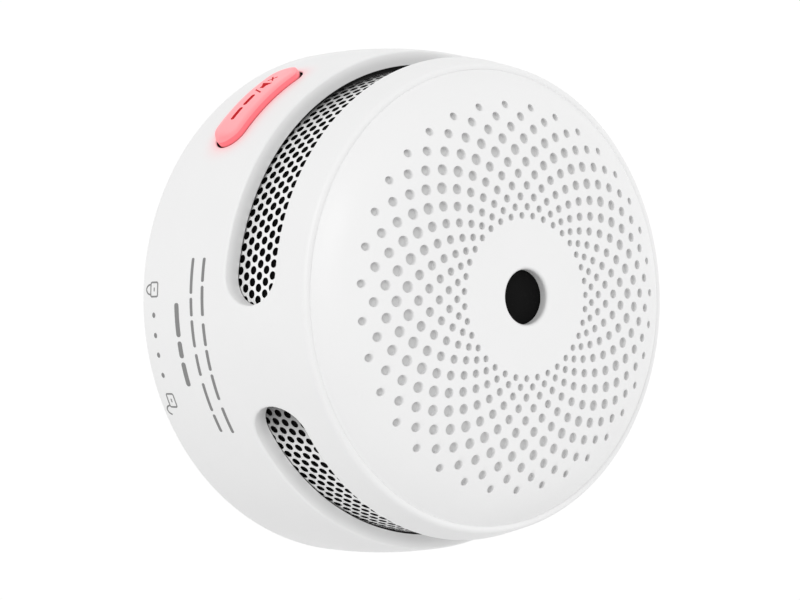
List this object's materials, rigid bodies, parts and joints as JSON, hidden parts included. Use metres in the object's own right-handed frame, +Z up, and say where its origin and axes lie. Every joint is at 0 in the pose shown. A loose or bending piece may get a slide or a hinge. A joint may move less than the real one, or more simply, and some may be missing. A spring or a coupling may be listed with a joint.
{
  "type": "smoke alarm",
  "caption": "Round wall or ceiling smoke alarm with a domed dimpled face, side smoke inlets over a perforated band, a lit test button and a twist-lock bracket.",
  "frame": {"origin": "centre of the mounting bracket's back face, on the drum's axis, in the wall plane", "axes": "the face looks along -Y, +Y goes into the wall, +Z up as on a wall, +X to the right for someone facing the alarm"},
  "size_m": [0.102, 0.0494, 0.102],
  "materials": {
    "white_plastic": "satin",
    "black_plastic": "satin",
    "grey_plastic": "satin",
    "lit_red": "gloss",
    "perforated_steel": "satin",
    "zinc_steel": "satin",
    "capacitor_can": "satin",
    "cell_sleeve": "satin",
    "fibreglass": "satin",
    "cream_nylon": "satin",
    "clear_resin": "gloss",
    "copper": "satin",
    "brass": "satin",
    "white_ceramic": "matte",
    "dark_foam": "matte",
    "red_wire": "satin",
    "black_wire": "satin"
  },
  "bodies": {
    "bracket": {"mounting_bracket": "white_plastic"},
    "head": {"battery": "cell_sleeve", "battery_connector": "cream_nylon", "battery_lead_black": "black_wire", "battery_lead_red": "red_wire", "board_screw_1": "zinc_steel", "board_screw_2": "zinc_steel", "board_screw_3": "zinc_steel", "case_screw_1": "zinc_steel", "case_screw_2": "zinc_steel", "case_screw_3": "zinc_steel", "chamber_base": "black_plastic", "chamber_cover": "black_plastic", "chassis_deck": "black_plastic", "circuit_board": "fibreglass", "front_cover": "white_plastic", "horn_base": "black_plastic", "horn_coil": "copper", "horn_gasket": "dark_foam", "horn_housing": "black_plastic", "horn_lead_black": "black_wire", "horn_lead_red": "red_wire", "inlet_grille": "perforated_steel", "ir_emitter": "clear_resin", "microcontroller": "black_plastic", "outer_shell": "white_plastic", "photodiode": "black_plastic", "piezo_ceramic": "white_ceramic", "piezo_plate": "brass", "power_switch_body": "black_plastic", "rear_cover": "white_plastic", "status_led": "clear_resin", "storage_capacitor": "capacitor_can", "test_switch_body": "black_plastic"},
    "button": {"test_button": "lit_red"},
    "plunger": {"test_switch_plunger": "grey_plastic"},
    "power_knob": {"power_switch_knob": "grey_plastic"}
  },
  "joints": [
    {"name": "twist_lock", "type": "hinge", "parent": "bracket", "child": "head", "pos_m": [0, 0, 0], "axis": [0, -1, 0], "range_deg": [0, 23.5]},
    {"name": "button_press", "type": "slide", "parent": "head", "child": "button", "axis": [0.6794, 0, -0.7337], "range_m": [0, 0.0008], "stiffness_N_per_m": 1500, "springref_m": -0.0005},
    {"name": "plunger_press", "type": "slide", "parent": "head", "child": "plunger", "axis": [0.6794, 0, -0.7337], "range_m": [0, 0.0008]},
    {"name": "power_slide", "type": "slide", "parent": "head", "child": "power_knob", "axis": [1, 0, 0], "range_m": [0, 0.003]}
  ],
  "couplings": [
    {"joint": "plunger_press", "follows": "button_press", "ratio": 1}
  ]
}
